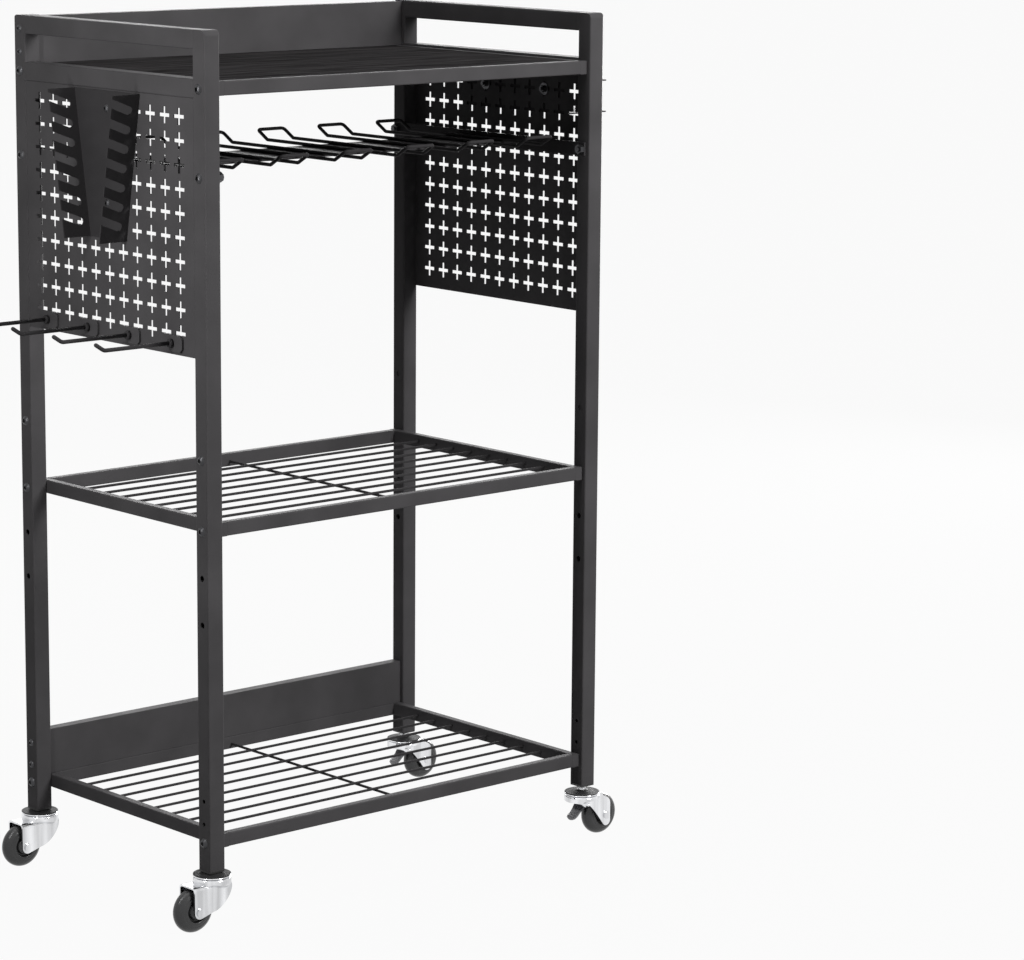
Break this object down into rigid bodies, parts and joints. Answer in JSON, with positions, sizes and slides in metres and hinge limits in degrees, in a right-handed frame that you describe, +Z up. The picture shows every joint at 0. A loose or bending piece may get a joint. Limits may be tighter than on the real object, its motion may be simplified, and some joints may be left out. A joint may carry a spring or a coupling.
{
  "type": "rolling tool cart",
  "caption": "Open-frame rolling tool cart with pegboard ends, top tray, wire shelves, wire tool rack, wrench and screwdriver holders, hooks and swivel casters.",
  "frame": {"origin": "on the floor under the middle of the four posts", "axes": "+X to the right along the width, +Y to the back (guard side), +Z up"},
  "size_m": [0.7136, 0.361, 0.949],
  "materials": {
    "powder_coat": "fine-textured charcoal powder coat",
    "board": "black stained wood grain",
    "dark_zinc": "black zinc fasteners",
    "chrome": "bright chrome",
    "hub_plastic": "grey plastic",
    "tyre_rubber": "dark grey rubber",
    "plug_plastic": "black plastic"
  },
  "bodies": {
    "frame": {"upper_post_fl": "powder_coat", "upper_post_rl": "powder_coat", "upper_post_fr": "powder_coat", "upper_post_rr": "powder_coat", "lower_post_fl": "powder_coat", "lower_post_rl": "powder_coat", "lower_post_fr": "powder_coat", "lower_post_rr": "powder_coat", "post_connectors": "powder_coat", "post_plugs": "plug_plastic", "top_rail_left": "powder_coat", "top_rail_right": "powder_coat", "second_rail_left": "powder_coat", "second_rail_right": "powder_coat", "pegboard_left": "powder_coat", "pegboard_right": "powder_coat", "top_shelf_frame": "powder_coat", "top_board": "board", "top_guard": "powder_coat", "middle_shelf_frame": "powder_coat", "middle_shelf_wires": "powder_coat", "bottom_shelf_frame": "powder_coat", "bottom_shelf_wires": "powder_coat", "bottom_guard": "powder_coat", "rack_frame": "powder_coat", "rack_loops": "powder_coat", "wrench_holder": "powder_coat", "screwdriver_holder": "powder_coat", "hooks": "powder_coat", "shelf_bolts": "dark_zinc", "joint_bolts": "dark_zinc", "rack_bolts": "dark_zinc", "rack_nuts": "dark_zinc", "guard_bolts": "dark_zinc", "guard_nuts": "dark_zinc", "holder_screws": "dark_zinc", "holder_nuts": "dark_zinc", "caster_cap_fl": "chrome", "caster_cap_rl": "chrome", "caster_cap_fr": "chrome", "caster_cap_rr": "chrome"},
    "swivel_fl": {"caster_fork_fl": "chrome", "caster_axle_fl": "chrome"},
    "wheel_fl": {"wheel_hub_fl": "hub_plastic", "wheel_tyre_fl": "tyre_rubber"},
    "swivel_rl": {"caster_fork_rl": "chrome", "caster_axle_rl": "chrome"},
    "wheel_rl": {"wheel_hub_rl": "hub_plastic", "wheel_tyre_rl": "tyre_rubber"},
    "swivel_fr": {"caster_fork_fr": "chrome", "caster_axle_fr": "chrome"},
    "wheel_fr": {"wheel_hub_fr": "hub_plastic", "wheel_tyre_fr": "tyre_rubber"},
    "swivel_rr": {"caster_fork_rr": "chrome", "caster_axle_rr": "chrome"},
    "wheel_rr": {"wheel_hub_rr": "hub_plastic", "wheel_tyre_rr": "tyre_rubber"},
    "pedal_fr": {"brake_pedal_fr": "chrome"},
    "pedal_rr": {"brake_pedal_rr": "chrome"}
  },
  "joints": [
    {"name": "swivel_fl", "type": "hinge", "parent": "frame", "child": "swivel_fl", "pos_m": [-0.2675, -0.16, 0.0505], "axis": [0, 0, 1], "continuous": true},
    {"name": "roll_fl", "type": "hinge", "parent": "swivel_fl", "child": "wheel_fl", "pos_m": [-0.2935, -0.16, 0.024], "axis": [0, 1, 0], "continuous": true},
    {"name": "swivel_rl", "type": "hinge", "parent": "frame", "child": "swivel_rl", "pos_m": [-0.2675, 0.16, 0.0505], "axis": [0, 0, 1], "continuous": true},
    {"name": "roll_rl", "type": "hinge", "parent": "swivel_rl", "child": "wheel_rl", "pos_m": [-0.2935, 0.16, 0.024], "axis": [0, 1, 0], "continuous": true},
    {"name": "swivel_fr", "type": "hinge", "parent": "frame", "child": "swivel_fr", "pos_m": [0.2675, -0.16, 0.0505], "axis": [0, 0, 1], "continuous": true},
    {"name": "roll_fr", "type": "hinge", "parent": "swivel_fr", "child": "wheel_fr", "pos_m": [0.2935, -0.16, 0.024], "axis": [0, 1, 0], "continuous": true},
    {"name": "swivel_rr", "type": "hinge", "parent": "frame", "child": "swivel_rr", "pos_m": [0.2675, 0.16, 0.0505], "axis": [0, 0, 1], "continuous": true},
    {"name": "roll_rr", "type": "hinge", "parent": "swivel_rr", "child": "wheel_rr", "pos_m": [0.2935, 0.16, 0.024], "axis": [0, 1, 0], "continuous": true},
    {"name": "brake_fr", "type": "hinge", "parent": "swivel_fr", "child": "pedal_fr", "pos_m": [0.2655, -0.16, 0.041], "axis": [0, -1, 0], "range_deg": [0, 22]},
    {"name": "brake_rr", "type": "hinge", "parent": "swivel_rr", "child": "pedal_rr", "pos_m": [0.2655, 0.16, 0.041], "axis": [0, -1, 0], "range_deg": [0, 22]}
  ]
}
